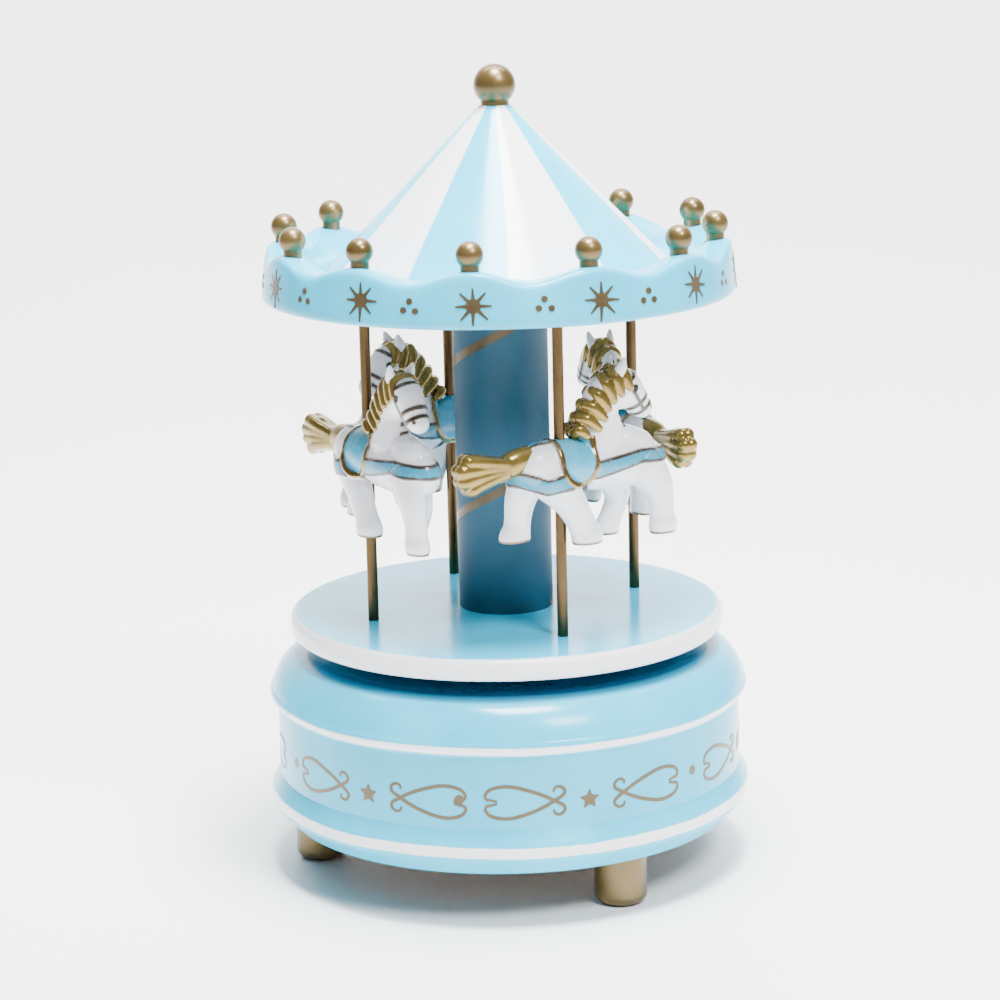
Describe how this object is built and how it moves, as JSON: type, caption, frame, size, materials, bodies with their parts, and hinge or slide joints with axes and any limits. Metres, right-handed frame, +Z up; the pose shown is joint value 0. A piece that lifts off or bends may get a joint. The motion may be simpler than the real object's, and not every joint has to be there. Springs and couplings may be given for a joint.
{
  "type": "carousel music box",
  "caption": "Wind-up wooden music box: a turned drum holds the spring movement and a striped-roof carousel with prancing horses on poles turns on top.",
  "frame": {"origin": "on the carousel's axis at the level that the feet stand on", "axes": "+Z up along the carousel's axis, -Y towards the front"},
  "size_m": [0.1062, 0.1062, 0.1751],
  "materials": {
    "blue_lacquer": "glossy light blue paint on turned wood",
    "deep_blue_lacquer": "semi-gloss steel blue paint on turned wood",
    "striped_lacquer": "glossy white and light blue painted stripes on turned wood",
    "white_lacquer": "white gloss paint on moulded resin with gold and blue details",
    "gold_paint": "satin antique gold paint on wood",
    "antique_brass": "drawn brass, browned",
    "brass": "machined",
    "plated_steel": "zinc plated",
    "spring_steel": "hardened and polished",
    "cast_zinc": "die cast",
    "white_plastic": "moulded",
    "fibreboard": "pressed fibreboard",
    "bare_wood": "bare beech"
  },
  "bodies": {
    "base": {"base_drum": "blue_lacquer", "foot_1": "gold_paint", "foot_2": "gold_paint", "foot_3": "gold_paint", "bottom_cover": "fibreboard", "cover_screws": "plated_steel", "cover_blocks": "bare_wood", "bedplate": "plated_steel", "bedplate_screws": "plated_steel", "arbor_bush": "brass", "spring_housing": "plated_steel", "housing_screws": "plated_steel", "mainspring": "spring_steel", "cylinder_bracket_inner": "plated_steel", "cylinder_bracket_outer": "plated_steel", "bracket_screws": "plated_steel", "comb_block": "cast_zinc", "comb": "spring_steel", "comb_screws": "plated_steel", "governor_frame": "plated_steel", "governor_screws": "plated_steel"},
    "carousel": {"canopy_cone": "striped_lacquer", "canopy_rim": "blue_lacquer", "click": "spring_steel", "click_spring": "spring_steel", "column": "deep_blue_lacquer", "column_foot_dowel": "bare_wood", "column_head_dowel": "bare_wood", "crown_balls": "gold_paint", "drive_hub": "plated_steel", "finial": "gold_paint", "horse_front_left": "white_lacquer", "horse_front_right": "white_lacquer", "horse_rear_left": "white_lacquer", "horse_rear_right": "white_lacquer", "hub_screws": "plated_steel", "main_gear": "brass", "platform": "blue_lacquer", "pole_front_left": "antique_brass", "pole_front_right": "antique_brass", "pole_rear_left": "antique_brass", "pole_rear_right": "antique_brass", "ratchet_wheel": "spring_steel", "winding_arbor": "spring_steel"},
    "cylinder": {"pin_cylinder": "brass", "cylinder_caps": "brass", "cylinder_shaft": "spring_steel", "cylinder_pinion": "brass", "drive_wheel": "brass"},
    "governor": {"governor_shaft": "spring_steel", "governor_pinion": "brass", "worm_wheel": "white_plastic"},
    "worm": {"worm_shaft": "spring_steel", "air_brake": "white_plastic"}
  },
  "joints": [
    {"name": "carousel_turn", "type": "hinge", "parent": "base", "child": "carousel", "pos_m": [0, 0, 0.05], "axis": [0, 0, 1], "continuous": true},
    {"name": "cylinder_turn", "type": "hinge", "parent": "base", "child": "cylinder", "pos_m": [0.02, 0, 0.0252], "axis": [1, 0, 0], "continuous": true},
    {"name": "governor_turn", "type": "hinge", "parent": "base", "child": "governor", "pos_m": [0.02, -0.012, 0.0252], "axis": [1, 0, 0], "continuous": true},
    {"name": "worm_turn", "type": "hinge", "parent": "base", "child": "worm", "pos_m": [0.02675, -0.0183, 0.0252], "axis": [0, 0, 1], "continuous": true}
  ],
  "couplings": [
    {"joint": "cylinder_turn", "follows": "carousel_turn", "ratio": -2.8},
    {"joint": "governor_turn", "follows": "carousel_turn", "ratio": 11.2},
    {"joint": "worm_turn", "follows": "carousel_turn", "ratio": 179.2}
  ]
}
